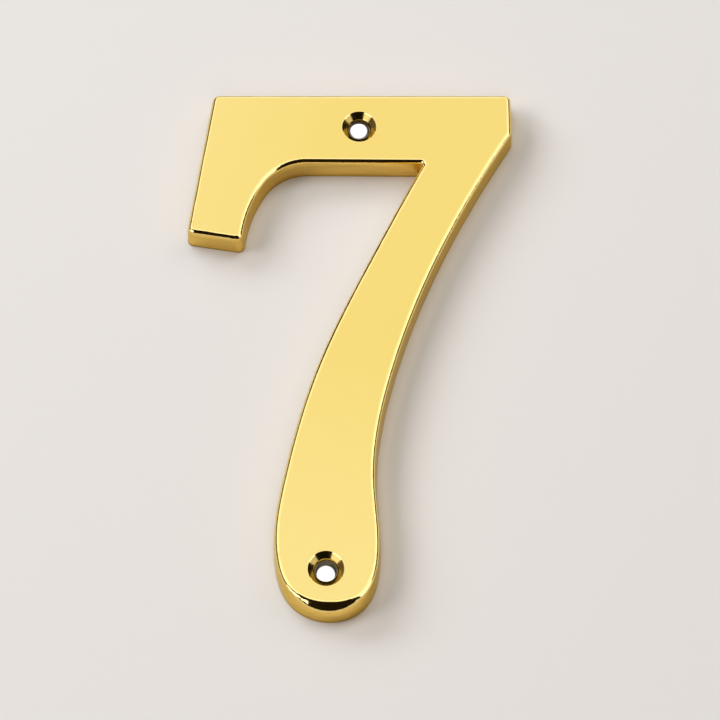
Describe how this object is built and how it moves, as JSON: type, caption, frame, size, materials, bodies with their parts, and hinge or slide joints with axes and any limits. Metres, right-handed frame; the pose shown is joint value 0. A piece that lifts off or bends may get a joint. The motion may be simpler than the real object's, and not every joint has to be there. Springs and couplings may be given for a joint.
{
  "type": "house number",
  "caption": "Polished brass numeral seven with rounded face edges, a hollow back and countersunk holes for fixing it to a wall or door.",
  "frame": {"origin": "middle of the numeral's box, on the back plane that meets the wall", "axes": "+Y to the top of the numeral, +X to the right as it is read, +Z out of the polished face"},
  "size_m": [0.0748, 0.127, 0.0065],
  "materials": {
    "polished_brass": "polished and lacquered, mirror bright"
  },
  "bodies": {
    "root": {"numeral_seven": "polished_brass"}
  },
  "joints": []
}
